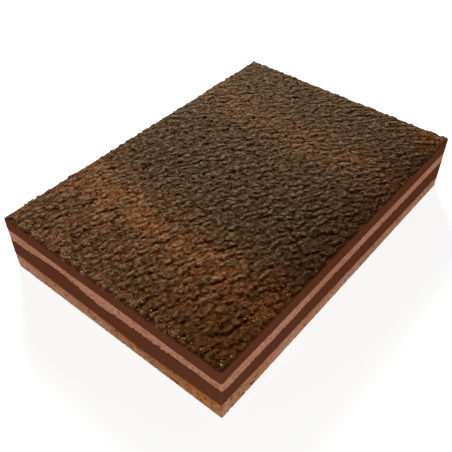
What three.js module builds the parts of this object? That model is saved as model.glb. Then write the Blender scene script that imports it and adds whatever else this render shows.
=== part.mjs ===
// Chocolate ice cream slab cake, the size of a quarter-sheet pan, cut square on all four sides.
// From the board up it is five pieces, each of which runs right through the slab:
//   base_sponge      pale chocolate sponge, the bottom layer
//   lower_ice_cream  dark chocolate ice cream
//   middle_sponge    a thinner sheet of the same sponge
//   upper_ice_cream  dark chocolate ice cream, struck off flat
//   crumb_topping    a rough bed of cocoa crumbs, stuck to the ice cream
// Millimetres, +Z up. X runs along the slab and Y across it, and the origin is the middle of its underside.
// The layers were spread by hand, so the surfaces where they meet aren't level. The two layers at such a
// surface take their heights from the same function at the same stations, so they touch all over.

import * as THREE from "three";

// ---- Driving dimensions -------------------------------------------------------------------------------

const LENGTH = 330; // a quarter-sheet slab: 13 in
const WIDTH = 229; // 9 in
const HEIGHT = 58; // about 2 1/4 in, to the tips of the highest crumbs
const CRUMB_DEPTH = 2.6; // the crumb bed, from the ice cream to its highest tips
const ICE_CREAM_TOP = HEIGHT - CRUMB_DEPTH;
const HALF_LENGTH = LENGTH / 2;
const HALF_WIDTH = WIDTH / 2;

const CORNER_RADIUS = 1.6; // a knife cut leaves the upright corners this sharp
const CORNER_STEPS = 2;
const SIDE_STEP = 6; // spacing of the facets along a cut side
const RIM_BEVEL = 0.8; // the ice cream's top rim is softened
const FOOT_TUCK = 0.7; // the bottom edge of the sponge is pressed in a little
const SPONGE_ROWS = 3; // rows of facets up a sponge's side
const SPONGE_CRAGS = 0.45; // how far the torn crumb of a cut side steps back, at most

const CRUMB_STEP = 4.3; // across one bump of the crumb bed
const CRUMB_JITTER = 0.3; // of a step, each way
const CRUMB_PITS = 0.7; // thickness of the bed in its pits
const CRUMB_DRIFTS = 0.3; // share of the relief that comes from broad drifts, not from single crumbs
const DRIFT_SIZE = 24;
const EDGE_THICKNESS = 0.9; // the bed thins to this at its ragged edge
const EDGE_SETBACK = 1.2; // the edge keeps behind the cut side by this, give or take the next value
const EDGE_RAGGED = 0.9;

// ---- Uneven by a seeded rule --------------------------------------------------------------------------

// A number from 0 to 1 that is always the same for the same three whole numbers.
function scatter(i, j, seed) {
  let h = Math.imul(i, 374761393) ^ Math.imul(j, 668265263) ^ Math.imul(seed, 362437);
  h = Math.imul(h ^ (h >>> 13), 1274126177);
  return ((h ^ (h >>> 16)) >>> 0) / 4294967296;
}

// The same, from -1 to 1.
const wobble = (i, j, seed) => 2 * scatter(i, j, seed) - 1;

// Smooth noise from -1 to 1 whose hills are about `size` apart.
function hills(x, y, size, seed) {
  const i = Math.floor(x / size);
  const j = Math.floor(y / size);
  const a = THREE.MathUtils.smoothstep(x / size - i, 0, 1);
  const b = THREE.MathUtils.smoothstep(y / size - j, 0, 1);
  const near = THREE.MathUtils.lerp(wobble(i, j, seed), wobble(i + 1, j, seed), a);
  const far = THREE.MathUtils.lerp(wobble(i, j + 1, seed), wobble(i + 1, j + 1, seed), a);
  return THREE.MathUtils.lerp(near, far, b);
}

// ---- The surfaces where the layers meet ---------------------------------------------------------------

// Each has its height in the middle of the slab, its rise from there to the +X and +Y sides, how much
// it wavers, and swells: places near the cut sides where a layer was spread thicker or thinner.
const WAVER_SIZE = 46;
const LEFT = -HALF_LENGTH;
const RIGHT = HALF_LENGTH;
const FRONT = -HALF_WIDTH;
const BACK = HALF_WIDTH;

const UNDERSIDE = { middle: 0, rise: [0, 0], waver: 0, seed: 0, swells: [] };
const BASE_TOP = {
  middle: 14.2,
  rise: [-1.9, 0],
  waver: 0.5,
  seed: 12,
  swells: [
    { at: [LEFT, FRONT], lift: 1.7, reach: [26, 24] },
    { at: [LEFT, -36], lift: -2.6, reach: [14, 26] },
    { at: [LEFT, 30], lift: -0.9, reach: [14, 60] },
    { at: [RIGHT, 40], lift: 2.4, reach: [30, 46] },
  ],
};
const LOWER_ICE_CREAM_TOP = {
  middle: 30.7,
  rise: [-0.8, 0],
  waver: 0.45,
  seed: 26,
  swells: [
    { at: [LEFT, 54], lift: 4.1, reach: [12, 27] },
    { at: [LEFT, 6], lift: -2.7, reach: [12, 17] },
    { at: [LEFT - 4, -104], lift: 3.9, reach: [6, 48] },
    { at: [-60, BACK], lift: -2.2, reach: [50, 12] },
    { at: [70, BACK], lift: 2.5, reach: [34, 12] },
  ],
};
const MIDDLE_SPONGE_TOP = {
  middle: 42.4,
  rise: [-1, 0.5],
  waver: 0.35,
  seed: 37,
  swells: [{ at: [LEFT - 4, -96], lift: -1.2, reach: [6, 48] }],
};
const UPPER_ICE_CREAM_TOP = { middle: ICE_CREAM_TOP, rise: [0, 0], waver: 0, seed: 0, swells: [] };

function heightOf({ middle, rise, waver, seed, swells }, x, y) {
  let z = middle + (rise[0] * x) / HALF_LENGTH + (rise[1] * y) / HALF_WIDTH;
  z += waver * hills(x, y, WAVER_SIZE, seed);
  for (const { at, lift, reach } of swells) {
    z += lift * Math.exp(-(((x - at[0]) / reach[0]) ** 2) - ((y - at[1]) / reach[1]) ** 2);
  }
  return z;
}

// ---- The outline of the slab --------------------------------------------------------------------------

// Stations round the cut sides, anticlockwise from above, each with its outward normal.
function outlineStations() {
  const stations = [];
  const corners = [
    { x: 1, y: -1, startDeg: -90, nextSide: WIDTH },
    { x: 1, y: 1, startDeg: 0, nextSide: LENGTH },
    { x: -1, y: 1, startDeg: 90, nextSide: WIDTH },
    { x: -1, y: -1, startDeg: 180, nextSide: LENGTH },
  ];
  for (const { x, y, startDeg, nextSide } of corners) {
    const centre = new THREE.Vector2(x * (HALF_LENGTH - CORNER_RADIUS), y * (HALF_WIDTH - CORNER_RADIUS));
    for (let k = 0; k <= CORNER_STEPS; k++) {
      const turn = THREE.MathUtils.degToRad(startDeg + (90 * k) / CORNER_STEPS);
      const normal = new THREE.Vector2(Math.cos(turn), Math.sin(turn));
      stations.push({ at: centre.clone().addScaledVector(normal, CORNER_RADIUS), normal });
    }
    const { at, normal } = stations[stations.length - 1];
    const along = new THREE.Vector2(-normal.y, normal.x);
    const run = nextSide - 2 * CORNER_RADIUS;
    const steps = Math.round(run / SIDE_STEP);
    for (let k = 1; k < steps; k++) {
      stations.push({ at: at.clone().addScaledVector(along, (run * k) / steps), normal });
    }
  }
  return stations;
}

const STATIONS = outlineStations();

// One point for each station: `inset` behind the outline, and `drop` below the surface there.
function ringOn(surface, inset = 0, drop = 0) {
  return STATIONS.map(({ at, normal }) => {
    const z = heightOf(surface, at.x, at.y) - drop;
    return new THREE.Vector3(at.x - normal.x * inset, at.y - normal.y * inset, z);
  });
}

// ---- Solids -------------------------------------------------------------------------------------------

function geometryOf(points, triangles) {
  const geometry = new THREE.BufferGeometry().setFromPoints(points);
  geometry.setIndex(triangles);
  geometry.computeVertexNormals();
  return geometry;
}

// A closed solid from rings that go up its side, with a fan of triangles over each end.
function stackedRings(rings, bottomMiddle, topMiddle) {
  const count = STATIONS.length;
  const points = [...rings.flat(), bottomMiddle, topMiddle];
  const bottom = points.length - 2;
  const top = points.length - 1;
  const lastRing = (rings.length - 1) * count;
  const triangles = [];
  for (let k = 0; k < count; k++) {
    const next = (k + 1) % count;
    for (let ring = 0; ring < lastRing; ring += count) {
      triangles.push(ring + k, ring + next, ring + next + count);
      triangles.push(ring + k, ring + next + count, ring + k + count);
    }
    triangles.push(bottom, next, k);
    triangles.push(top, lastRing + k, lastRing + next);
  }
  return geometryOf(points, triangles);
}

// The rings between a sponge's lower and upper edge, where the torn crumb steps back here and there.
function craggySide(lower, upper, seed) {
  const rings = [];
  for (let row = 1; row < SPONGE_ROWS; row++) {
    const ring = STATIONS.map(({ at, normal }, k) => {
      const share = (row + 0.25 * wobble(k, row, seed)) / SPONGE_ROWS;
      const low = heightOf(lower, at.x, at.y);
      const high = heightOf(upper, at.x, at.y);
      const back = SPONGE_CRAGS * scatter(k, row, seed + 1);
      const z = THREE.MathUtils.lerp(low, high, share);
      return new THREE.Vector3(at.x - normal.x * back, at.y - normal.y * back, z);
    });
    rings.push(ring);
  }
  return rings;
}

function layerGeometry(lower, upper, rings) {
  const bottomMiddle = new THREE.Vector3(0, 0, heightOf(lower, 0, 0));
  const topMiddle = new THREE.Vector3(0, 0, heightOf(upper, 0, 0));
  return stackedRings(rings, bottomMiddle, topMiddle);
}

function spongeGeometry(lower, upper, { tuck = 0, seed }) {
  const rings = [ringOn(lower, tuck), ...craggySide(lower, upper, seed), ringOn(upper)];
  return layerGeometry(lower, upper, rings);
}

function iceCreamGeometry(lower, upper, { bevel = 0 }) {
  const rings = [ringOn(lower), ringOn(upper, 0, bevel)];
  if (bevel > 0) {
    rings.push(ringOn(upper, bevel));
  }
  return layerGeometry(lower, upper, rings);
}

// The crumb bed: a grid of bumps, one to a crumb, over a flat underside, out to a ragged edge.
function crumbBedGeometry(seed) {
  const columns = Math.round(LENGTH / CRUMB_STEP);
  const rows = Math.round(WIDTH / CRUMB_STEP);
  const indexAt = (i, j) => j * (columns + 1) + i;
  const setback = (k, side) => EDGE_SETBACK + EDGE_RAGGED * wobble(k, side, seed);
  const points = [];
  for (let j = 0; j <= rows; j++) {
    for (let i = 0; i <= columns; i++) {
      const onEdge = i === 0 || j === 0 || i === columns || j === rows;
      const wander = onEdge ? 0 : CRUMB_JITTER * CRUMB_STEP;
      const left = LEFT + setback(j, 1);
      const right = RIGHT - setback(j, 2);
      const front = FRONT + setback(i, 3);
      const back = BACK - setback(i, 4);
      const x = THREE.MathUtils.lerp(left, right, i / columns) + wander * wobble(i, j, seed + 1);
      const y = THREE.MathUtils.lerp(front, back, j / rows) + wander * wobble(i, j, seed + 2);
      const drift = 0.5 + 0.5 * hills(x, y, DRIFT_SIZE, seed + 3);
      const tip = THREE.MathUtils.lerp(scatter(i, j, seed + 4), drift, CRUMB_DRIFTS);
      const thickness = onEdge ? EDGE_THICKNESS : THREE.MathUtils.lerp(CRUMB_PITS, CRUMB_DEPTH, tip);
      points.push(new THREE.Vector3(x, y, ICE_CREAM_TOP + thickness));
    }
  }
  const triangles = [];
  for (let j = 0; j < rows; j++) {
    for (let i = 0; i < columns; i++) {
      const [a, b, c, d] = [indexAt(i, j), indexAt(i + 1, j), indexAt(i + 1, j + 1), indexAt(i, j + 1)];
      // Each cell is split along its flatter diagonal, so that no bump is cut by a crease.
      if (Math.abs(points[a].z - points[c].z) < Math.abs(points[b].z - points[d].z)) {
        triangles.push(a, b, c, a, c, d);
      } else {
        triangles.push(a, b, d, b, c, d);
      }
    }
  }
  // The edge, anticlockwise from above, drops straight down to the ice cream.
  const edge = [];
  for (let i = 0; i < columns; i++) edge.push(indexAt(i, 0));
  for (let j = 0; j < rows; j++) edge.push(indexAt(columns, j));
  for (let i = columns; i > 0; i--) edge.push(indexAt(i, rows));
  for (let j = rows; j > 0; j--) edge.push(indexAt(0, j));
  const foot = points.length;
  for (const p of edge) points.push(new THREE.Vector3(points[p].x, points[p].y, ICE_CREAM_TOP));
  const middle = points.length;
  points.push(new THREE.Vector3(0, 0, ICE_CREAM_TOP));
  edge.forEach((p, k) => {
    const next = (k + 1) % edge.length;
    triangles.push(foot + k, foot + next, edge[next]);
    triangles.push(foot + k, edge[next], p);
    triangles.push(middle, foot + next, foot + k);
  });
  return geometryOf(points, triangles);
}

// ---- The pieces ---------------------------------------------------------------------------------------

const spongeMaterial = (color) => new THREE.MeshStandardMaterial({ color, roughness: 0.9, metalness: 0 });
const iceCreamMaterial = (color) => new THREE.MeshStandardMaterial({ color, roughness: 0.45, metalness: 0 });
const crumbMaterial = (color) => new THREE.MeshStandardMaterial({ color, roughness: 0.75, metalness: 0 });

const cake = new THREE.Group();

function addPiece(name, geometry, material) {
  const mesh = new THREE.Mesh(geometry, material);
  mesh.name = name;
  cake.add(mesh);
}

addPiece(
  "base_sponge",
  spongeGeometry(UNDERSIDE, BASE_TOP, { tuck: FOOT_TUCK, seed: 21 }),
  spongeMaterial("#9c6743"),
);
addPiece(
  "lower_ice_cream",
  iceCreamGeometry(BASE_TOP, LOWER_ICE_CREAM_TOP, {}),
  iceCreamMaterial("#552e20"),
);
addPiece(
  "middle_sponge",
  spongeGeometry(LOWER_ICE_CREAM_TOP, MIDDLE_SPONGE_TOP, { seed: 41 }),
  spongeMaterial("#9f6d55"),
);
addPiece(
  "upper_ice_cream",
  iceCreamGeometry(MIDDLE_SPONGE_TOP, UPPER_ICE_CREAM_TOP, { bevel: RIM_BEVEL }),
  iceCreamMaterial("#552e20"),
);
addPiece("crumb_topping", crumbBedGeometry(61), crumbMaterial("#4d3827"));

export default cake;
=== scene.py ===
# Chocolate ice cream slab cake, dressed for its portrait.
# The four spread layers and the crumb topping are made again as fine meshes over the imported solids, with
# torn sponge, knife-smooth ice cream and loose cocoa crumbs. A cake is measured in millimetres, so every
# length here is in millimetres until its mesh is made.

import math

import bmesh
import bpy
import numpy as np
from mathutils import Matrix, Vector


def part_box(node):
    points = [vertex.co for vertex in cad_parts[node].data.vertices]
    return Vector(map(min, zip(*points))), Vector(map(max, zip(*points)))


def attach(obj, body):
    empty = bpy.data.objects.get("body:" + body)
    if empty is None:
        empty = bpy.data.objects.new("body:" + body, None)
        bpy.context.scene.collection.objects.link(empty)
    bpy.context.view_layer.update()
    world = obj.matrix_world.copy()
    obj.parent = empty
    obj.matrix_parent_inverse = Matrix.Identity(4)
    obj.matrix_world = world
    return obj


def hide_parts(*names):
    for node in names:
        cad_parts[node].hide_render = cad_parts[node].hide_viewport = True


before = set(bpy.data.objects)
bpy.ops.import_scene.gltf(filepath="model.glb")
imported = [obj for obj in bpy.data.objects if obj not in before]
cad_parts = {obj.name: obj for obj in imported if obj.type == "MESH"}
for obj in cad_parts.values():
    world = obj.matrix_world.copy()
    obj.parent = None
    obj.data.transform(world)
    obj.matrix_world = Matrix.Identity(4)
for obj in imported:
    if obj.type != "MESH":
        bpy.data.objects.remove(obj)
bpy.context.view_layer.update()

MM = 0.001  # metres

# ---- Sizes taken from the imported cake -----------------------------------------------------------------

HALF_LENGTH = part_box("upper_ice_cream")[1].x / MM
HALF_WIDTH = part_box("upper_ice_cream")[1].y / MM
ICE_CREAM_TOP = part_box("upper_ice_cream")[1].z / MM

# ---- Uneven by a seeded rule --------------------------------------------------------------------------

HILL_RISE = 1.6  # brings smooth noise up to a height of about 1
HEAP_MARGIN, HEAP_STRAY = 0.1, 0.8  # a heap's crest keeps off its square's border and strays over the rest
LOW_CREST, CREST_SPREAD = 0.55, 0.45  # how high the lowest crest is, and how much higher the highest
HEAP_SLOPE = 0.8  # how fast a heap falls away from its crest


def scatter(i, j, seed):
    """A number from 0 to 1 for each pair of whole numbers, always the same for the same seed."""
    i, j, seed = (np.asarray(n).astype(np.int64).astype(np.uint32) for n in (i, j, seed))
    # Large odd multipliers mix the bits.
    h = (i * np.uint32(374761393)) ^ (j * np.uint32(668265263)) ^ (seed * np.uint32(362437))
    h = (h ^ (h >> np.uint32(13))) * np.uint32(1274126177)
    return (h ^ (h >> np.uint32(16))) / 2.0**32


def hills(x, y, size, seed):
    """Smooth noise from about -1 to 1 whose hills and hollows are about size across."""
    u, v = np.asarray(x) / size, np.asarray(y) / size
    i, j = np.floor(u), np.floor(v)
    height = 0
    for di in (0, 1):
        for dj in (0, 1):
            turn = 2 * math.pi * scatter(i + di, j + dj, seed)
            a, b = u - i - di, v - j - dj
            near = (1 - abs(a)) ** 2 * (1 + 2 * abs(a)) * (1 - abs(b)) ** 2 * (1 + 2 * abs(b))
            height = height + near * (a * np.cos(turn) + b * np.sin(turn))
    return HILL_RISE * height


def heaps(x, y, size, seed):
    """Rounded heaps about size across that lie packed side by side, from 0 in the deepest creases to 1."""
    u, v = x / size, y / size
    i, j = np.floor(u), np.floor(v)
    height = np.zeros_like(u)
    for di in (-1, 0, 1):
        for dj in (-1, 0, 1):
            a = u - i - di - HEAP_MARGIN - HEAP_STRAY * scatter(i + di, j + dj, seed)
            b = v - j - dj - HEAP_MARGIN - HEAP_STRAY * scatter(i + di, j + dj, seed + 1)
            crest = LOW_CREST + CREST_SPREAD * scatter(i + di, j + dj, seed + 2)
            height = np.maximum(height, crest - HEAP_SLOPE * (a * a + b * b))
    return height


# ---- Making meshes ------------------------------------------------------------------------------------


def grid_quads(index):
    """The faces of a grid, from its points' numbers laid out in rows."""
    corners = [index[:-1, :-1], index[:-1, 1:], index[1:, 1:], index[1:, :-1]]
    return np.stack(corners, -1).reshape(-1, 4)


def add_piece(name, points, faces, material, replaced=(), tones=None, smooth=True):
    """A piece of the cake from points in millimetres. tones are numbers for each point that its material
    reads."""
    mesh = bpy.data.meshes.new(name)
    mesh.from_pydata((np.asarray(points) * MM).tolist(), [], faces)
    for tone, values in (tones or {}).items():
        mesh.attributes.new(tone, "FLOAT", "POINT").data.foreach_set("value", np.float32(values))
    mesh.polygons.foreach_set("use_smooth", [smooth] * len(mesh.polygons))
    mesh.materials.append(material)
    mesh.update()
    piece = bpy.data.objects.new(name, mesh)
    bpy.context.scene.collection.objects.link(piece)
    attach(piece, "root")
    if replaced:
        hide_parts(*replaced)


# ---- Materials ----------------------------------------------------------------------------------------

MIX_SHARE, MIX_FROM, MIX_TO = 0, 6, 7  # a colour mix's sockets
MIXED = 2  # and its result


def paint(hex_colour):
    """A colour written as sRGB hex, in the linear numbers that a shader takes."""
    shares = [int(hex_colour[k : k + 2], 16) / 255 for k in (1, 3, 5)]
    return [s / 12.92 if s <= 0.04045 else ((s + 0.055) / 1.055) ** 2.4 for s in shares] + [1]


def per_metre(size):
    """The scale of a pattern whose grains are this many millimetres wide."""
    return 1 / (size * MM)


def add_node(tree, kind, inputs=None, stops=None, **settings):
    """A node with its settings. Each input is set, or linked where a socket is given. stops are the places
    and colours of a ramp."""
    node = tree.nodes.new("ShaderNode" + kind)
    for name, value in settings.items():
        setattr(node, name, value)
    for name, value in (inputs or {}).items():
        if isinstance(value, bpy.types.NodeSocket):
            tree.links.new(value, node.inputs[name])
        else:
            node.inputs[name].default_value = value
    if stops:
        ramp = node.color_ramp.elements
        while len(ramp) < len(stops):
            ramp.new(1)
        for element, (place, colour) in zip(ramp, stops):
            element.position = place
            element.color = paint(colour)
    return node


def new_material(recipe):
    """A material with its recipe's name. A recipe adds the patterns to a node tree and returns the inputs of
    the surface."""
    material = bpy.data.materials.new(recipe.__name__)
    material.use_nodes = True
    tree = material.node_tree
    tree.nodes.clear()
    surface = add_node(tree, "BsdfPrincipled", recipe(tree))
    add_node(tree, "OutputMaterial", {"Surface": surface.outputs["BSDF"]})
    return material


def hardened_chocolate_ice_cream(tree):
    """Dark chocolate ice cream, churned, spread, hardened and cut with a warm knife: a dense, dull brown with
    hardly any grain, a little redder from place to place, and fine ice crystals on the cut."""
    place = add_node(tree, "TexCoord").outputs["Object"]
    # The mix isn't quite even: patches a few centimetres wide.
    patches = add_node(
        tree,
        "TexNoise",
        {"Vector": place, "Scale": per_metre(26.32), "Detail": 2, "Roughness": 0.5},
    )
    colour = add_node(
        tree,
        "ValToRGB",
        {"Fac": patches.outputs["Fac"]},
        [(0.3, "#56321f"), (0.5, "#573020"), (0.7, "#572e21")],
    )
    # Ice crystals of 0.05 mm are too fine to show, so they are drawn at about 0.6 mm.
    crystals = add_node(
        tree,
        "TexNoise",
        {"Vector": place, "Scale": per_metre(0.625), "Detail": 2, "Roughness": 0.6},
    )
    gloss = add_node(
        tree,
        "MapRange",
        {"Value": crystals.outputs["Fac"], "From Min": 0.3, "From Max": 0.7, "To Min": 0.42, "To Max": 0.6},
    )
    relief = add_node(
        tree,
        "Bump",
        {"Height": crystals.outputs["Fac"], "Strength": 0.35, "Distance": 0.12 * MM},
    )
    return {
        "Base Color": colour.outputs["Color"],
        "Roughness": gloss.outputs["Result"],
        "Normal": relief.outputs["Normal"],
        "IOR": 1.4,
        "Specular IOR Level": 0.0,  # the frost on the cut takes every highlight
    }


def baked_sponge(tree, crumb, crust, pore_shade, soaked, rust):
    """Pale chocolate sponge, baked, and cut with a serrated knife: a dull open crumb, mottled with painted
    light and shade where the knife tore it, with painted shade in its pores, and browner where the ice cream
    has soaked in."""
    place = add_node(tree, "TexCoord").outputs["Object"]
    # The bake isn't even: paler and browner parts a few centimetres wide.
    bake = add_node(
        tree,
        "TexNoise",
        {"Vector": place, "Scale": per_metre(33.33), "Detail": 2, "Roughness": 0.5},
    )
    dry = add_node(tree, "ValToRGB", {"Fac": bake.outputs["Fac"]}, [(0.32, crust), (0.68, crumb)])
    wet = add_node(tree, "Attribute", attribute_name="soaked")
    body = add_node(
        tree,
        "Mix",
        {MIX_SHARE: wet.outputs["Fac"], MIX_FROM: dry.outputs["Color"], MIX_TO: paint(soaked)},
        data_type="RGBA",
    )
    # Painted light and shade: torn crumbs about 2 mm long and 1 mm high take the light unevenly.
    lying = add_node(tree, "VectorMath", {0: place, 1: (1, 1, 2.2)}, operation="MULTIPLY")
    mottle = add_node(
        tree,
        "TexNoise",
        {"Vector": lying.outputs["Vector"], "Scale": per_metre(2.083), "Detail": 4, "Roughness": 0.68},
    )
    shade = add_node(
        tree,
        "MapRange",
        {"Value": mottle.outputs["Fac"], "From Min": 0.33, "From Max": 0.67, "To Min": 0.6, "To Max": 1.3},
    )
    mottled = add_node(
        tree,
        "VectorMath",
        {0: body.outputs[MIXED], 1: shade.outputs["Result"]},
        operation="MULTIPLY",
    )
    # Specks of 1 to 2 mm where the batter caught and turned rusty.
    caught = add_node(
        tree,
        "TexNoise",
        {"Vector": place, "Scale": per_metre(1.923), "Detail": 1, "Roughness": 0.5},
    )
    speck = add_node(
        tree,
        "MapRange",
        {"Value": caught.outputs["Fac"], "From Min": 0.57, "From Max": 0.68, "To Min": 0, "To Max": 0.55},
    )
    specked = add_node(
        tree,
        "Mix",
        {MIX_SHARE: speck.outputs["Result"], MIX_FROM: mottled.outputs["Vector"], MIX_TO: paint(rust)},
        data_type="RGBA",
    )
    # Painted shade in the pores: pores about 1 mm wide, and a few of up to 3 mm, are darker inside than light
    # alone would leave them.
    pores = add_node(tree, "Attribute", attribute_name="pore_shade")
    colour = add_node(
        tree,
        "Mix",
        {MIX_SHARE: pores.outputs["Fac"], MIX_FROM: specked.outputs[MIXED], MIX_TO: paint(pore_shade)},
        data_type="RGBA",
    )
    # The crumb's own grain of about 0.2 mm is too fine to show, so it is drawn at about 0.7 mm.
    grain = add_node(
        tree,
        "TexNoise",
        {"Vector": place, "Scale": per_metre(0.6667), "Detail": 3, "Roughness": 0.7},
    )
    relief = add_node(tree, "Bump", {"Height": grain.outputs["Fac"], "Strength": 0.6, "Distance": 0.3 * MM})
    return {
        "Base Color": colour.outputs[MIXED],
        "Roughness": 0.92,
        "Normal": relief.outputs["Normal"],
        "IOR": 1.4,
        "Specular IOR Level": 0.02,
    }


def soaked_base_sponge(tree):
    """The base's sponge: caramel brown where melt has run into it, with dark brown painted shade in its
    pores.
    """
    return baked_sponge(
        tree, crumb="#b0816b", crust="#a27354", pore_shade="#3a1f10", soaked="#925e33", rust="#a0502c"
    )


def middle_sheet_sponge(tree):
    """The middle sheet's sponge: a little pinker, with painted shade in its pores not much darker than its
    crumb.
    """
    return baked_sponge(
        tree, crumb="#ab7a65", crust="#a16f53", pore_shade="#7a4c36", soaked="#8b5a3d", rust="#9f573b"
    )


def crushed_cocoa_biscuit(tree):
    """Baked cocoa biscuit, crushed: each crumb is a shade of its own, with painted shade near black in the
    gaps, a painted olive brown highlight on its tips, and red brown in the patches that were toasted longer."""
    place = add_node(tree, "TexCoord").outputs["Object"]
    tone = add_node(tree, "Attribute", attribute_name="tone").outputs["Fac"]
    # How high a point stands above its neighbours, painted as shade in the gaps and a highlight on the
    # crests.
    height = add_node(tree, "Attribute", attribute_name="height").outputs["Fac"]
    toasted = add_node(tree, "Attribute", attribute_name="toasted").outputs["Fac"]
    # Broken faces of 1 to 1.5 mm, with finer grains on them down to 0.1 mm.
    grain = add_node(
        tree,
        "TexNoise",
        {"Vector": place, "Scale": per_metre(1.316), "Detail": 4, "Roughness": 0.7},
    ).outputs["Fac"]
    # A crumb's shade comes from where it lies, which carries painted light at the back and painted shade
    # along the front, from how high it stands, which paints shade in the gaps and a highlight on the crests,
    # and from its grain.
    shade = -0.32  # brings the deepest gaps down to the darkest colours
    for share, source in [(0.5, tone), (0.64, height), (0.5, grain)]:
        shade = add_node(tree, "Math", {0: source, 1: share, 2: shade}, operation="MULTIPLY_ADD").outputs[0]
    plain = add_node(
        tree,
        "ValToRGB",
        {"Fac": shade},
        [(0.14, "#2c1603"), (0.5, "#49331d"), (0.86, "#7b6850")],
    )
    warm = add_node(
        tree,
        "ValToRGB",
        {"Fac": shade},
        [(0.14, "#4f2405"), (0.5, "#714422"), (0.86, "#997456")],
    )
    colour = add_node(
        tree,
        "Mix",
        {MIX_SHARE: toasted, MIX_FROM: plain.outputs["Color"], MIX_TO: warm.outputs["Color"]},
        data_type="RGBA",
    )
    gloss = add_node(
        tree,
        "MapRange",
        {"Value": grain, "From Min": 0.3, "From Max": 0.7, "To Min": 0.55, "To Max": 0.8},
    )
    relief = add_node(tree, "Bump", {"Height": grain, "Strength": 0.9, "Distance": 1 * MM})
    return {
        "Base Color": colour.outputs[MIXED],
        "Roughness": gloss.outputs["Result"],
        "Normal": relief.outputs["Normal"],
        "IOR": 1.45,
        "Specular IOR Level": 0.01,
    }


def tan_flakes(tree):
    """Tan flakes, a shade different each, with a slight gloss."""
    place = add_node(tree, "TexCoord").outputs["Object"]
    # Patches of 3 mm, wider than a flake, give each flake its shade.
    each = add_node(
        tree,
        "TexNoise",
        {"Vector": place, "Scale": per_metre(3.333), "Detail": 1, "Roughness": 0.5},
    )
    colour = add_node(
        tree,
        "ValToRGB",
        {"Fac": each.outputs["Fac"]},
        [(0.35, "#8a5526"), (0.55, "#a8773f"), (0.75, "#c69a62")],
    )
    return {
        "Base Color": colour.outputs["Color"],
        "Roughness": 0.55,
        "IOR": 1.5,
        "Specular IOR Level": 0.15,
    }


def matt_white_laminate(_tree):
    """A pressed laminate table top, matt white. It glows, so that hardly a shadow shows on it."""
    return {
        "Base Color": paint("#a8a8a6"),
        "Emission Color": paint("#ffffff"),
        "Emission Strength": 0.84,
        "Roughness": 0.9,
        "Specular IOR Level": 0.1,
    }


# ---- The cut sides ------------------------------------------------------------------------------------

CORNER_RADIUS = 1.6  # the knife's upright corners, as in the solids
SIDE_STEP = 0.75  # spacing of the fine mesh along a cut side
SKIRT = 3.0  # how far in from the cut a cap's first ring lies, deeper than any pore
LEVEL = 0.9  # a face whose normal stands up this much belongs to a layer's upper or lower side


def walk_round():
    """Stations round the cut sides, anticlockwise from the corner at +X +Y, in millimetres: the places, the
    outward normals and the way gone."""
    places, normals = [], []
    corner_steps = max(2, round(math.pi / 2 * CORNER_RADIUS / SIDE_STEP))
    for quarter, (x, y) in enumerate([(1, 1), (-1, 1), (-1, -1), (1, -1)]):
        centre = np.array([x * (HALF_LENGTH - CORNER_RADIUS), y * (HALF_WIDTH - CORNER_RADIUS)])
        turns = np.radians(90 * (quarter + np.arange(corner_steps + 1) / corner_steps))
        outward = np.stack([np.cos(turns), np.sin(turns)], 1)
        places.append(centre + CORNER_RADIUS * outward)
        normals.append(outward)
        run = 2 * ((HALF_LENGTH if quarter % 2 == 0 else HALF_WIDTH) - CORNER_RADIUS)
        steps = round(run / SIDE_STEP)
        along = np.array([-outward[-1][1], outward[-1][0]])
        gone = run * np.arange(1, steps)[:, None] / steps
        places.append(places[-1][-1] + along * gone)
        normals.append(np.tile(outward[-1], (steps - 1, 1)))
    places, normals = np.concatenate(places), np.concatenate(normals)
    way = np.concatenate([[0], np.cumsum(np.linalg.norm(np.diff(places, axis=0), axis=1))])
    return places, normals, way


SIDE, OUTWARD, WAY = walk_round()
BEARING = np.arctan2(SIDE[:, 1], SIDE[:, 0])
SHORT_SIDE = SIDE[:, 0] < 1 - HALF_LENGTH  # the stations along the short side at -X


def way_at(x, y):
    """How far round the cut sides the station nearest to a place is."""
    return WAY[np.argmin(np.hypot(SIDE[:, 0] - x, SIDE[:, 1] - y))]


def spread_line(node, facing):
    """The height at each station of a packed layer's cut edge: its upper edge for facing 1, its lower edge
    for -1."""
    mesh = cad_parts[node].data
    cap = {v for face in mesh.polygons if face.normal.z * facing > LEVEL for v in face.vertices}
    points = np.array([mesh.vertices[v].co for v in sorted(cap)]) / MM
    # The points in the middle of the slab say nothing about its edge.
    points = points[np.hypot(points[:, 0], points[:, 1]) > HALF_WIDTH / 2]
    bearings = np.arctan2(points[:, 1], points[:, 0])
    spread = np.interp(BEARING, bearings, points[:, 2], period=2 * math.pi)
    # A spatula leaves the line a little uneven over every few millimetres.
    return spread + 0.25 * hills(WAY, 0, 3.4, 11) + 0.25 * hills(WAY, 0, 1.7, 12)


def with_caps(rows):
    """A tone for every point of a layer, from its rows up the cut side. A cap is one even tone, the mean of
    the edge that it closes."""
    low, high = rows[0].mean(), rows[-1].mean()
    count = len(WAY)
    return np.concatenate([np.full(count, low), rows.ravel(), np.full(count, high), [low, high]])


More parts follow.
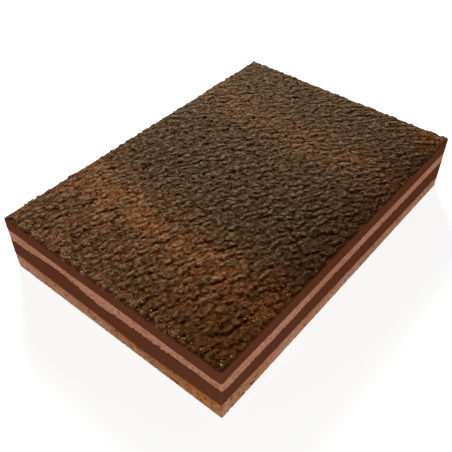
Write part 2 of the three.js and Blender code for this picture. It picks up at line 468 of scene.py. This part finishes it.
def add_layer(name, rings, material, replaced, tones=None):
    """A layer of the cake as one closed mesh. rings go up its cut side; each is the height and the distance
    behind the knife's cut at every station. Flat caps close it above and below."""
    low, high = rings[0][0], rings[-1][0]
    count = len(WAY)
    # A cap's first ring is the cut drawn smaller. Set in square to the cut, it would cross itself at the
    # corners.
    inner = SIDE * [1 - SKIRT / HALF_LENGTH, 1 - SKIRT / HALF_WIDTH]
    cut = [np.column_stack([SIDE - OUTWARD * np.reshape(back, (-1, 1)), z]) for z, back in rings]
    points = [np.column_stack([inner, low]), *cut, np.column_stack([inner, high])]
    low_middle = len(points) * count
    top_ring = low_middle - count
    points.append([[0, 0, low.mean()], [0, 0, high.mean()]])
    here = np.arange(count)
    there = np.roll(here, -1)
    faces = []
    for ring in range(0, top_ring, count):
        above = ring + count
        faces += np.column_stack([ring + here, ring + there, above + there, above + here]).tolist()
    faces += np.column_stack([np.full(count, low_middle), there, here]).tolist()
    faces += np.column_stack([np.full(count, low_middle + 1), top_ring + here, top_ring + there]).tolist()
    capped = {tone: with_caps(rows) for tone, rows in (tones or {}).items()}
    add_piece(name, np.concatenate(points), faces, material, [replaced], capped)


# ---- Sponge -------------------------------------------------------------------------------------------

SPONGE_ROW = 0.75  # spacing of the fine mesh up a sponge's side
SPONGE_SETBACK = 0.22  # how far the crumb lies behind the cut on average, torn out by the knife
CRUMBLED, CRUMBLED_REACH = 0.22, 1.2  # how far a sponge's edges have crumbled back, and how far in from them
PORE_SPACING = 3.4  # mean distance between the pores that show
SMALLEST_PORE, PORE_SPREAD = 0.35, 1.1  # a pore's least radius, and how much more the few largest have
PORE_STRETCH = 1.35  # how many times longer than high a pore is, pulled along by the knife
PORE_REACH = 1.6  # how many radii along the side are searched for a pore's points

# The knife drags the crumb into broad waves, torn lumps and single crumbs: how wide and how deep each is.
TEARS = [(9.0, 0.12), (2.6, 0.2), (1.25, 0.14)]


def open_pores(z, back, seed, holes):
    """Presses pores, and any larger holes, into a sponge's cut face. Returns how deep in a pore each point
    lies, from 0 to 1, which sets how much painted shade it gets."""
    draw = np.random.default_rng(seed)
    low, high = z.min(), z.max()
    pore_shade = np.zeros_like(z)
    number = int(WAY[-1] * (high - low) / PORE_SPACING**2)
    small = zip(
        draw.uniform(0, WAY[-1], number),
        draw.uniform(low, high, number),
        SMALLEST_PORE + PORE_SPREAD * draw.random(number) ** 3,
        draw.uniform(0.5, 1.0, number),
    )
    for along, up, radius, depth in [*small, *holes]:
        first, last = np.searchsorted(WAY, [along - PORE_REACH * radius, along + PORE_REACH * radius])
        near = slice(first, last)
        from_middle = np.hypot((WAY[None, near] - along) / PORE_STRETCH, z[:, near] - up) / radius
        bowl = np.clip(1 - from_middle**2, 0, 1)
        back[:, near] = np.maximum(back[:, near], min(1, depth) * radius * bowl)
        pore_shade[:, near] = np.maximum(pore_shade[:, near], np.clip(bowl * depth, 0, 1))
    return pore_shade


def sponge_rings(lower, upper, seed, tuck=0.0, holes=()):
    """A sponge's cut side: rings of height and setback, then for each of their points how deep in a pore it
    lies, from 0 to 1, which sets its painted shade, and how far above the lower and below the upper edge.
    tuck draws its foot in."""
    rows = max(6, round(float((upper - lower).mean()) / SPONGE_ROW))
    share = np.linspace(0, 1, rows + 1)[:, None]
    z = lower + (upper - lower) * share
    back = np.full_like(z, SPONGE_SETBACK)
    for k, (width, depth) in enumerate(TEARS):
        back += depth * hills(WAY, z, width, seed + k)
    pore_shade = open_pores(z, back, seed + 3, holes)
    edge = np.clip(1 - np.minimum(z - lower, upper - z) / CRUMBLED_REACH, 0, 1)
    back += CRUMBLED * edge * (0.5 + 0.5 * hills(WAY, z, 1.7, seed + 4))
    back[0] += tuck
    back[1] += tuck / 3
    return list(zip(z, np.maximum(back, 0))), pore_shade, z - lower, upper - z


# ---- Ice cream ----------------------------------------------------------------------------------------

RIM_RADIUS = 1.1  # the softened top rim
RIM_STEPS = 4  # rings round the rim
ICE_CREAM_ROW = 1.3  # spacing of the fine mesh up an ice cream layer's side
ICE_CREAM_SETBACK = 0.1  # how far the cut face lies behind the knife's widest sweep
DRAG_LENGTH = 16  # the knife's drags are this many times longer than high


def ice_cream_rings(lower, upper, seed, rim=False):
    """An ice cream layer's cut side: nearly flat, with the knife's long shallow drags."""
    rows = max(5, round(float((upper - lower).mean()) / ICE_CREAM_ROW))
    share = np.linspace(0, 1, rows + 1)[:, None]
    top = upper - RIM_RADIUS if rim else upper
    z = lower + (top - lower) * share
    back = ICE_CREAM_SETBACK + 0.06 * hills(WAY, z, 14.0, seed)
    back += 0.05 * hills(WAY / DRAG_LENGTH, z, 1.6, seed + 1)
    rings = list(zip(z, back))
    if rim:
        radius = RIM_RADIUS + 0.25 * hills(WAY, 0, 7.0, seed + 2)
        for turn in math.pi / 2 * np.arange(1, RIM_STEPS + 1) / RIM_STEPS:
            drop, inset = RIM_RADIUS * (1 - math.sin(turn)), radius * (1 - math.cos(turn))
            rings.append((upper - drop, back[-1] + inset))
    return rings


# ---- The layers ---------------------------------------------------------------------------------------

# Torn pits along the foot of the long side, by the front corner: how far along, how high up, and the radius.
PITS = [(-152, 2.2, 1.5), (-141, 2.4, 1.7), (-130, 3.0, 1.5), (-133, 5.6, 0.9), (-126, 7.2, 1.3)]
# A pit is filled with painted shade nearly to its border.
PIT_DEPTH = 3.0  # over 1, so a pit is as deep as its radius and dark nearly to its border
FOOT_TUCK = 0.15  # the base's foot is drawn in by this
TORN_AT, TORN_REACH = -30, 55  # where along the short side the knife tore the line under the middle sponge
RUN_AT, RUN_REACH = 20, 45  # melt ran down the short side, most of all this far behind the front corner
RUN_SPREAD = 2.2  # and spread along that side by this many times its reach
STAIN_DEPTH = 3.0  # how far down the base its top is stained
# The base's foot is darker, partly its bottom crust and partly painted shade where it meets the table:
CRUST_AND_SHADE_DEPTH = 0.9  # the base's bottom crust
MELT_DEPTH, RUN_DEPTH = 0.3, 1.5  # how deep ice cream has melted in, and how much deeper where melt ran


def torn_line():
    """How far the knife tore the line under the middle sponge up or down at each station."""
    torn = SHORT_SIDE * np.exp(-(((SIDE[:, 1] - TORN_AT) / TORN_REACH) ** 2))
    return torn * (1.2 * hills(WAY, 0, 4.4, 21) + 1.5 * hills(WAY, 0, 2.5, 22))


def base_sponge_layer(foot, top, material):
    """The base, torn at its foot, darker at its foot with its bottom crust and painted shade where it meets
    the table, and with ice cream melted into its top.
    """
    holes = [(way_at(x, -HALF_WIDTH), z, radius, PIT_DEPTH) for x, z, radius in PITS]
    rings, pore_shade, above, below = sponge_rings(foot, top, seed=100, tuck=FOOT_TUCK, holes=holes)
    run = np.hypot(SIDE[:, 0] + HALF_LENGTH, (SIDE[:, 1] + HALF_WIDTH - RUN_AT) / RUN_SPREAD)
    caramel = np.exp(-((run / RUN_REACH) ** 2)) * SHORT_SIDE
    spots = 0.5 * hills(np.broadcast_to(WAY, above.shape), above, 4.5, 131)
    stained = np.where(SHORT_SIDE, 1.0, 0.55 + 0.6 * hills(WAY, 0, 8.0, 134)) * np.exp(-below / STAIN_DEPTH)
    soaked = np.clip(stained + caramel * (0.75 + spots) + 0.3 * spots, 0, 1)
    # Darker over about its lowest millimetre: partly the bottom crust, partly painted shade where the base
    # meets the table.
    crust = 0.85 * np.clip(1.5 - above / CRUST_AND_SHADE_DEPTH, 0, 1) * (0.75 + 0.5 * hills(WAY, above, 4.0, 132))
    melt_depth = MELT_DEPTH + RUN_DEPTH * caramel + 0.5 * hills(WAY, 0, 5.0, 133)
    melt_depth = np.maximum(MELT_DEPTH, melt_depth)
    melt = 0.9 * np.exp(-((below / melt_depth) ** 2))
    # One tone mixes towards the pore colour: painted shade in the pores and pits, the darker foot and the
    # melt.
    dark = np.clip(np.maximum(np.maximum(pore_shade, crust), melt), 0, 1)
    tones = {"pore_shade": dark, "soaked": soaked}
    add_layer("base_sponge_layer", rings, material, "base_sponge", tones)


def lower_ice_cream_layer(foot, top, material):
    """The lower spread of ice cream, up to the line that the knife tore."""
    rings = ice_cream_rings(foot, top, seed=200)
    add_layer("lower_ice_cream_layer", rings, material, "lower_ice_cream")


def middle_sponge_layer(foot, top, material):
    """The middle sheet, soaked from below and hardly at all from above."""
    rings, pore_shade, above, below = sponge_rings(foot, top, seed=300)
    soaked = np.clip(np.exp(-above / 1.1) * 0.9 + 0.3 * np.exp(-below / 0.6), 0, 1)
    # Painted shade in the pores, and the soaking.
    tones = {"pore_shade": pore_shade, "soaked": soaked}
    add_layer("middle_sponge_layer", rings, material, "middle_sponge", tones)


def upper_ice_cream_layer(foot, top, material):
    """The upper spread of ice cream, struck off flat, with its softened rim."""
    rings = ice_cream_rings(foot, top, seed=400, rim=True)
    add_layer("upper_ice_cream_layer", rings, material, "upper_ice_cream")


# ---- The crumb topping --------------------------------------------------------------------------------

BED_STEP = 0.9  # spacing of the fine mesh over the crumb bed
BED_SEED = 61
BED_SETBACK, LEAST_SETBACK = 1.7, 0.3  # the crumbs keep behind the cut by about this, unevenly, and the least
FALL = 0.8  # the bed ends in a steep fall this wide, to half its height
THINNED, THINNING = 0.62, 8.0  # how high it stands behind that fall, and how far in it is at its full height
LIE = math.radians(-31)  # the crumbs were raked into long heaps that run this way, measured from +X
SWING = 0.00084  # the heaps bend this much, as a rake swings
LEAN, LEANING = 0.4, math.radians(-140)  # how far each crest leans for its height, and which way
SETTLED, SETTLING = 0.92, 0.0007  # how high the bed stands mid-slab, and how much lower per mm to +X and +Y
LEAST_SETTLED, MOST_SETTLED = 0.7, 1.02  # the lowest and the highest that makes it
LEAST_BED, MOST_BED = 0.25, 3.2  # how thin and how thick the bed may be behind its fall
CRUMBLE = 0.3  # single crumbs set neighbouring points apart by up to this
# A point standing above its neighbours gets a painted highlight, one lying below them painted shade:
NEIGHBOURS = 3  # how many points to each side a crumb's height is measured against
DARK_TO_PALE = 1.1  # the rise over them that takes a crumb from darkest to palest
UNDER_BORDER = 10.0  # the underside has a straight ring of points this far in from the cut

# The heaps of the crumb bed, coarse to fine: how wide they are, how many times longer, and how high.
HEAPS = [(4.8, 2.2, 2.25), (2.8, 1.8, 1.4), (1.8, 1.2, 0.65)]
SUNK = 0.8  # the creases between them reach down nearly to the ice cream

# Streaks across the slab where the crumbs were toasted longer and show red brown: how far along the slab each
# lies, how wide it reaches and how much it was toasted. So was a patch at the right corner.
TOASTED_STREAKS = [(-98, 27, 0.78), (-158, 34, 0.36), (78, 23, 0.3)]
STREAK_SLANT = 0.09  # how far along a streak shifts for each millimetre across
RIGHT_CORNER, TOASTED_CORNER, CORNER_REACH = (160, -108), 0.8, 24

# Painted shade darkens the crumbs along the front side and round the front corner: how far in each reaches.
FRONT_CORNER = (-165, -115)
FRONT_SHADE_SIDE, FRONT_SHADE_CORNER = 22, 60
MIDDLE_SHADE = 0.52  # how pale they are elsewhere


def toasted_at(x, y):
    """How much the topping was toasted at a place, from 0 to 1."""
    wander = STREAK_SLANT * y + 9 * hills(x, y, 46.0, 70)
    from_corner = np.hypot((x - RIGHT_CORNER[0]) / CORNER_REACH, (y - RIGHT_CORNER[1]) / CORNER_REACH)
    amount = TOASTED_CORNER * np.exp(-(from_corner**2))
    for middle, reach, strength in TOASTED_STREAKS:
        amount = amount + strength * np.exp(-(((x - middle - wander) / reach) ** 2))
    patches = 0.5 * hills(x, y, 26.0, 74) + 0.5 * hills(x, y, 12.0, 71) + 0.4 * hills(x, y, 4.0, 72)
    return np.clip(amount * (1 + patches), 0, 1)


def shade_at(x, y):
    """How pale the crumbs are at a place, from 0 to 1: paler at the back with painted light, and darker along
    the front with painted shade.
    """
    from_corner = np.hypot(x - FRONT_CORNER[0], y - FRONT_CORNER[1])
    # Painted shade along the front side and round the front corner.
    front_shade = np.exp(-(y + HALF_WIDTH) / FRONT_SHADE_SIDE) + 0.75 * np.exp(-from_corner / FRONT_SHADE_CORNER)
    # Painted light: a little paler towards +X and +Y, at the back.
    back_light = 0.0005 * x + 0.0004 * y
    patches = 0.26 * hills(x, y, 3.0, 73) + 0.2 * hills(x, y, 6.5, 75)
    return np.clip(MIDDLE_SHADE + back_light - 0.55 * front_shade + 0.12 * toasted_at(x, y) + patches, 0, 1)


def ragged(run, side):
    """How far the bed keeps behind the cut, run along one of its sides. Each side has a number of its own."""
    clumps = 1.0 * hills(run, side, 15.0, BED_SEED) + 3.0 * hills(run, side, 6.5, BED_SEED + 1)
    return np.maximum(LEAST_SETBACK, BED_SETBACK + clumps + 2.0 * hills(run, side, 2.8, BED_SEED + 7))


def crumb_field():
    """The bed's points and the height of its surface at each."""
    columns = round(2 * HALF_LENGTH / BED_STEP)
    rows = round(2 * HALF_WIDTH / BED_STEP)
    i, j = np.meshgrid(np.arange(columns + 1), np.arange(rows + 1))
    even_x, even_y = i * BED_STEP, j * BED_STEP
    left, right = -HALF_LENGTH + ragged(even_y, 10), HALF_LENGTH - ragged(even_y, 20)
    front, back = -HALF_WIDTH + ragged(even_x, 30), HALF_WIDTH - ragged(even_x, 40)
    x = left + (right - left) * i / columns
    y = front + (back - front) * j / rows

    # Along and across the rake's pull, which wanders as it does by hand.
    along = x * math.cos(LIE) + y * math.sin(LIE)
    across = y * math.cos(LIE) - x * math.sin(LIE) + SWING * x * x
    along += 2.6 * hills(x, y, 11.0, BED_SEED + 2) + 1.4 * hills(x, y, 3.6, BED_SEED + 3)
    across += 2.2 * hills(x, y, 11.0, BED_SEED + 4) + 1.0 * hills(x, y, 3.6, BED_SEED + 5)
    height = np.zeros(x.shape)
    for k, (width, longer, rise) in enumerate(HEAPS):
        height += rise * heaps(along / longer, across, width, BED_SEED + 20 + 3 * k)
    # Broad drifts.
    height += 0.22 * hills(x, y, 23.0, BED_SEED + 6) - SUNK
    height += CRUMBLE * (scatter(i, j, BED_SEED + 8) - 0.5)
    height *= np.clip(SETTLED - SETTLING * (x + y), LEAST_SETTLED, MOST_SETTLED)

    # The bed thins towards its edge and ends in a short steep fall.
    inside = np.minimum(np.minimum(i, columns - i), np.minimum(j, rows - j)) * BED_STEP
    fade = np.clip(inside / FALL, 0, 1)
    height *= THINNED + (1 - THINNED) * np.clip(inside / THINNING, 0, 1)
    height = np.clip(height, LEAST_BED, MOST_BED) * (0.5 + 0.5 * fade)
    # The rake pulled the crests over, so they lean to the front left.
    lean = LEAN * fade * (height - height.mean())
    return x + lean * math.cos(LEANING), y + lean * math.sin(LEANING), height


def smoothed(values, reach):
    """values averaged over a square that reaches this many cells each way."""
    for axis in (0, 1):
        margins = [(reach, reach) if a == axis else (0, 0) for a in (0, 1)]
        padded = np.pad(values, margins, mode="edge")
        total = np.cumsum(np.insert(padded, 0, 0, axis=axis), axis=axis)
        first = np.arange(values.shape[axis])
        window = np.take(total, first + 2 * reach, axis=axis) - np.take(total, first, axis=axis)
        values = window / (2 * reach)
    return values


def crumb_bed(material):
    """The bed as one closed mesh: the crumbs above, a flat underside on the ice cream and a ragged edge."""
    x, y, height = crumb_field()
    rows, columns = x.shape
    index = np.arange(x.size).reshape(x.shape)
    edge = np.concatenate([index[0, :-1], index[:-1, -1], index[-1, :0:-1], index[:0:-1, 0]])
    top = np.column_stack([x.ravel(), y.ravel(), ICE_CREAM_TOP + height.ravel()])
    foot = top[edge] * [1, 1, 0] + [0, 0, ICE_CREAM_TOP]
    # Fanned out from the middle alone, the underside would turn over where its ragged edge doubles back.
    across, up = edge % columns / (columns - 1) * 2 - 1, edge // columns / (rows - 1) * 2 - 1
    straight = np.column_stack(
        [across * (HALF_LENGTH - UNDER_BORDER), up * (HALF_WIDTH - UNDER_BORDER), foot[:, 2]]
    )
    points = np.concatenate([top, foot, straight, [[0, 0, ICE_CREAM_TOP]]])

    foot_index = len(top) + np.arange(len(edge))
    straight_index = foot_index + len(edge)
    middle = np.full(len(edge), len(points) - 1)
    turn = np.roll(np.arange(len(edge)), -1)
    skirt = np.column_stack([foot_index, foot_index[turn], edge[turn], edge])
    border = np.column_stack([straight_index, straight_index[turn], foot_index[turn], foot_index])
    under = np.column_stack([middle, straight_index[turn], straight_index])
    faces = grid_quads(index).tolist() + skirt.tolist() + border.tolist() + under.tolist()

    # Painted shade in the gaps and a painted highlight on the crests: the higher a point stands above those
    # round it, the paler.
    crest_highlight_gap_shade = np.clip(0.5 + (height - smoothed(height, NEIGHBOURS)) / DARK_TO_PALE, 0, 1)
    tones = {"tone": shade_at(x, y), "height": crest_highlight_gap_shade, "toasted": toasted_at(x, y)}
    # Each point of the foot and the underside has the tones of the point above it on the edge.
    source = np.concatenate([np.arange(x.size), edge, edge, edge[:1]])
    tones = {name: values.ravel()[source] for name, values in tones.items()}
    add_piece("crumb_bed", points, faces, material, ["crumb_topping"], tones)
    return x, y, height


# ---- Loose crumbs -------------------------------------------------------------------------------------

STRETCHED = (0.65, 1.25)  # how much a crumb is shortened or lengthened each way
KNOCKED = (0.72, 1.22)  # how far in or out its corners are
FLATTENED = 0.75  # crumbs settle on their flatter sides
STRAY_IN, STRAY_OUT = 1.0, 0.9  # how far inside and outside the bed's border its crumbs have strayed
RIM_CLEARANCE = 1.0  # none has its middle nearer to the cut than this
CLEAR_OF_CUT = 2  # those on the bed keep this far from it

# Cocoa crumbs: how many lie on the bed and along its border, the least half width and how much more the few
# largest have, how finely each is made, the share of its height that is sunk, and a seed.
COCOA_CRUMBS = [
    ("cocoa_lumps", 900, 1100, 0.6, 0.8, 2, 0.4, 81),
    ("cocoa_grit", 5200, 1800, 0.3, 0.4, 1, 0.25, 82),
]

# Where tan crumbs gather: place, reach along and across the slab, and how many.
SPECK_CLUSTERS = [
    ((-159, 88), (2, 12), 90),
    ((-159, 55), (3, 14), 110),
    ((-161, -55), (2, 24), 60),
    ((-161, 0), (2, 40), 40),
    ((-110, -105), (13, 5), 60),
    ((-157, -109), (6, 3), 6),
    ((-94, 43), (4, 7), 16),
    ((-88, -48), (12, 20), 45),
    ((-90, -2), (18, 18), 45),
    ((154, -102), (8, 8), 16),
    ((0, 0), (150, 100), 140),
]
SPECK_MARGIN = 3  # they keep this far from the cut
SPECK_HALF_WIDTH, SPECK_SPREAD = 0.28, 0.42  # the least, and how much more the few largest have


def broken_lump(fineness):
    """The points and faces of a ball that broken crumbs are bent from."""
    ball = bmesh.new()
    bmesh.ops.create_icosphere(ball, subdivisions=fineness, radius=1)
    lump = bpy.data.meshes.new("lump")
    ball.to_mesh(lump)
    ball.free()
    points = np.array([v.co for v in lump.vertices])
    faces = np.array([f.vertices for f in lump.polygons])
    bpy.data.meshes.remove(lump)
    return points, faces


def random_turns(draw, count):
    """A matrix for each crumb that turns it any way at all."""
    turns = draw.normal(size=(count, 4))
    turns /= np.linalg.norm(turns, axis=1, keepdims=True)
    w, a, b, c = turns.T
    rows = [
        [1 - 2 * (b * b + c * c), 2 * (a * b - c * w), 2 * (a * c + b * w)],
        [2 * (a * b + c * w), 1 - 2 * (a * a + c * c), 2 * (b * c - a * w)],
        [2 * (a * c - b * w), 2 * (b * c + a * w), 1 - 2 * (a * a + b * b)],
    ]
    return np.array(rows).transpose(2, 0, 1)


def strew(name, material, places, half_widths, tones, fineness, seed, sunk, smooth):
    """Loose crumbs as one piece: each is a ball bent out of shape, turned at random and sunk by a share of
    its own height."""
    draw = np.random.default_rng(seed)
    ball, ball_faces = broken_lump(fineness)
    count, corners = len(places), len(ball)
    rotation = random_turns(draw, count)
    stretch = draw.uniform(*STRETCHED, (count, 1, 3))
    knocks = draw.uniform(*KNOCKED, (count, corners, 1))
    shapes = (ball[None] * stretch * knocks) @ rotation.transpose(0, 2, 1)
    shapes[:, :, 2] *= FLATTENED
    shapes *= half_widths[:, None, None]
    lift = -shapes[:, :, 2].min(axis=1) * (1 - 2 * sunk)
    points = shapes + places[:, None, :]
    points[:, :, 2] += lift[:, None]
    faces = (ball_faces[None] + (np.arange(count) * corners)[:, None, None]).reshape(-1, 3)
    tones = {tone: np.repeat(values, corners) for tone, values in tones.items()}
    points = points.reshape(-1, 3)
    add_piece(name, points, faces.tolist(), material, tones=tones, smooth=smooth)


def on_bed(x, y, bed):
    """Places on the bed's surface nearest to x and y."""
    bed_x, bed_y, height = bed
    rows, columns = bed_x.shape
    i = np.clip(np.round((x + HALF_LENGTH) / (2 * HALF_LENGTH) * (columns - 1)).astype(int), 1, columns - 2)
    j = np.clip(np.round((y + HALF_WIDTH) / (2 * HALF_WIDTH) * (rows - 1)).astype(int), 1, rows - 2)
    return np.column_stack([bed_x[j, i], bed_y[j, i], ICE_CREAM_TOP + height[j, i]])


def along_border(bed, number, draw):
    """Places just inside and outside the bed's ragged border, down on the ice cream's rim."""
    bed_x, bed_y, _ = bed
    sides = [
        (bed_x[0], bed_y[0], (0, -1)),
        (bed_x[-1], bed_y[-1], (0, 1)),
        (bed_x[:, 0], bed_y[:, 0], (-1, 0)),
        (bed_x[:, -1], bed_y[:, -1], (1, 0)),
    ]
    x, y = (np.concatenate([side[k] for side in sides]) for k in (0, 1))
    outward = np.concatenate([np.tile(side[2], (len(side[0]), 1)) for side in sides])
    which = draw.integers(len(x), size=number)
    stray = draw.uniform(-STRAY_IN, STRAY_OUT, (number, 1))
    places = np.column_stack([x[which], y[which]]) + outward[which] * stray
    limit = np.array([HALF_LENGTH - RIM_CLEARANCE, HALF_WIDTH - RIM_CLEARANCE])
    places = np.clip(places, -limit, limit)
    return np.column_stack([places, np.full(number, ICE_CREAM_TOP)])


def loose_crumbs(bed, material):
    """Broken cocoa crumbs, partly sunk in the bed and along its border, and fine grit over everything."""
    for name, number, on_border, smallest, spread, fineness, sunk, seed in COCOA_CRUMBS:
        draw = np.random.default_rng(seed)
        x = draw.uniform(-HALF_LENGTH + CLEAR_OF_CUT, HALF_LENGTH - CLEAR_OF_CUT, number)
        y = draw.uniform(-HALF_WIDTH + CLEAR_OF_CUT, HALF_WIDTH - CLEAR_OF_CUT, number)
        places = np.concatenate([on_bed(x, y, bed), along_border(bed, on_border, draw)])
        half_widths = smallest + spread * draw.random(len(places)) ** 2
        # Each crumb takes the painted light and shade of where it lies, give or take a little.
        tones = {
            "tone": shade_at(places[:, 0], places[:, 1]) + draw.uniform(-0.2, 0.2, len(places)),
            "height": draw.uniform(0.4, 0.85, len(places)),
            "toasted": toasted_at(places[:, 0], places[:, 1]),
        }
        strew(name, material, places, half_widths, tones, fineness, seed + 10, sunk, smooth=True)


def tan_specks(bed, material):
    """Tan flakes among the cocoa crumbs."""
    draw = np.random.default_rng(91)
    x_limit, y_limit = HALF_LENGTH - SPECK_MARGIN, HALF_WIDTH - SPECK_MARGIN
    x, y = [], []
    for (u, v), (along, across), number in SPECK_CLUSTERS:
        x.append(np.clip(draw.normal(u, along, number), -x_limit, x_limit))
        y.append(np.clip(draw.normal(v, across, number), -y_limit, y_limit))
    places = on_bed(np.concatenate(x), np.concatenate(y), bed)
    half_widths = SPECK_HALF_WIDTH + SPECK_SPREAD * draw.random(len(places)) ** 1.5
    strew("tan_specks", material, places, half_widths, {}, fineness=1, seed=92, sunk=0.2, smooth=False)


# ---- The cake -----------------------------------------------------------------------------------------


def bake_cake():
    """The whole cake, from its base up."""
    ice_cream = new_material(hardened_chocolate_ice_cream)
    foot = np.zeros_like(WAY)
    base_top = spread_line("lower_ice_cream", -1)
    lower_top = spread_line("lower_ice_cream", 1) + torn_line()
    middle_top = spread_line("upper_ice_cream", -1)
    rim = np.full_like(WAY, ICE_CREAM_TOP)
    base_sponge_layer(foot, base_top, new_material(soaked_base_sponge))
    lower_ice_cream_layer(base_top, lower_top, ice_cream)
    middle_sponge_layer(lower_top, middle_top, new_material(middle_sheet_sponge))
    upper_ice_cream_layer(middle_top, rim, ice_cream)
    crumb = new_material(crushed_cocoa_biscuit)
    bed = crumb_bed(crumb)
    loose_crumbs(bed, crumb)
    tan_specks(bed, new_material(tan_flakes))


# ---- Studio -------------------------------------------------------------------------------------------

PICTURE_SIDE = 452  # pixels
FOCAL_LENGTH = 620  # pixels, from the slab's corners in the photograph
SENSOR = 36.0  # its width
CAMERA_AZIMUTH, CAMERA_ELEVATION = -50.41, 43.49  # degrees
CAMERA_DISTANCE = 575.7
CAMERA_SIDE, CAMERA_LIFT = -14.1, -3.6  # how far it is slid to its right and upwards
TABLE_HALF, TABLE_CELLS = 3000, 12  # the table's half width and how many cells it has each way


def facing(back, place):
    """The matrix of a camera or light at place, in millimetres, with its back to the direction back."""
    back = back.normalized()
    right = Vector((0, 0, 1)).cross(back).normalized()
    matrix = Matrix((right, back.cross(right), back)).transposed().to_4x4()
    matrix.translation = place * MM
    return matrix


def from_angles(azimuth, elevation):
    """The direction from the cake to a viewer: azimuth 0 is in front of the long side at -Y."""
    turn, rise = math.radians(azimuth), math.radians(elevation)
    return Vector((math.sin(turn) * math.cos(rise), -math.cos(turn) * math.cos(rise), math.sin(rise)))


def set_up_camera():
    """A camera at the photograph's viewing angle."""
    camera = bpy.data.cameras.new("camera")
    camera.sensor_width = SENSOR
    camera.lens = SENSOR * FOCAL_LENGTH / PICTURE_SIDE
    camera.clip_start, camera.clip_end = 10 * MM, 20000 * MM
    stand = bpy.data.objects.new("camera", camera)
    bpy.context.scene.collection.objects.link(stand)
    back = from_angles(CAMERA_AZIMUTH, CAMERA_ELEVATION)
    aim = facing(back, Vector())
    side, lift = Vector(aim.col[0][:3]), Vector(aim.col[1][:3])
    stand.matrix_world = facing(back, back * CAMERA_DISTANCE + side * CAMERA_SIDE + lift * CAMERA_LIFT)
    bpy.context.scene.camera = stand


def add_softbox(name, azimuth, elevation, distance, width, height, brightness):
    """A softbox aimed at the cake. brightness is how bright it makes a white card that faces it there."""
    lamp = bpy.data.lights.new(name, "AREA")
    lamp.shape = "RECTANGLE"
    lamp.size, lamp.size_y = width * MM, height * MM
    lamp.energy = brightness * math.pi**2 * (distance * MM) ** 2
    box = bpy.data.objects.new(name, lamp)
    bpy.context.scene.collection.objects.link(box)
    back = from_angles(azimuth, elevation)
    box.matrix_world = facing(back, back * distance)
    box.visible_camera = False


def add_table():
    """The white table under the cake."""
    ticks = np.linspace(-TABLE_HALF, TABLE_HALF, TABLE_CELLS + 1)
    x, y = np.meshgrid(ticks, ticks)
    points = np.column_stack([x.ravel(), y.ravel(), 0 * x.ravel()]) * MM
    mesh = bpy.data.meshes.new("white_table")
    mesh.from_pydata(points.tolist(), [], grid_quads(np.arange(x.size).reshape(x.shape)).tolist())
    mesh.materials.append(new_material(matt_white_laminate))
    table = bpy.data.objects.new("white_table", mesh)
    bpy.context.scene.collection.objects.link(table)


def set_up_studio():
    """A white table under a white sky of light, with one large softbox behind the cake that rakes its crumbs,
    and a low, weak one in front."""
    world = bpy.data.worlds.new("white_room")
    world.use_nodes = True
    sky = world.node_tree.nodes["Background"]
    sky.inputs["Color"].default_value = paint("#fffefc")
    sky.inputs["Strength"].default_value = 0.2
    bpy.context.scene.world = world
    add_softbox(
        "softbox_behind",
        azimuth=138,
        elevation=28,
        distance=2600,
        width=1300,
        height=600,
        brightness=2.25,
    )
    add_softbox(
        "low_softbox_in_front",
        azimuth=-48,
        elevation=6,
        distance=1300,
        width=700,
        height=200,
        brightness=0.45,
    )
    # Colours come out as they are painted.
    bpy.context.scene.view_settings.view_transform = "Standard"
    add_table()


set_up_camera()
set_up_studio()
bake_cake()
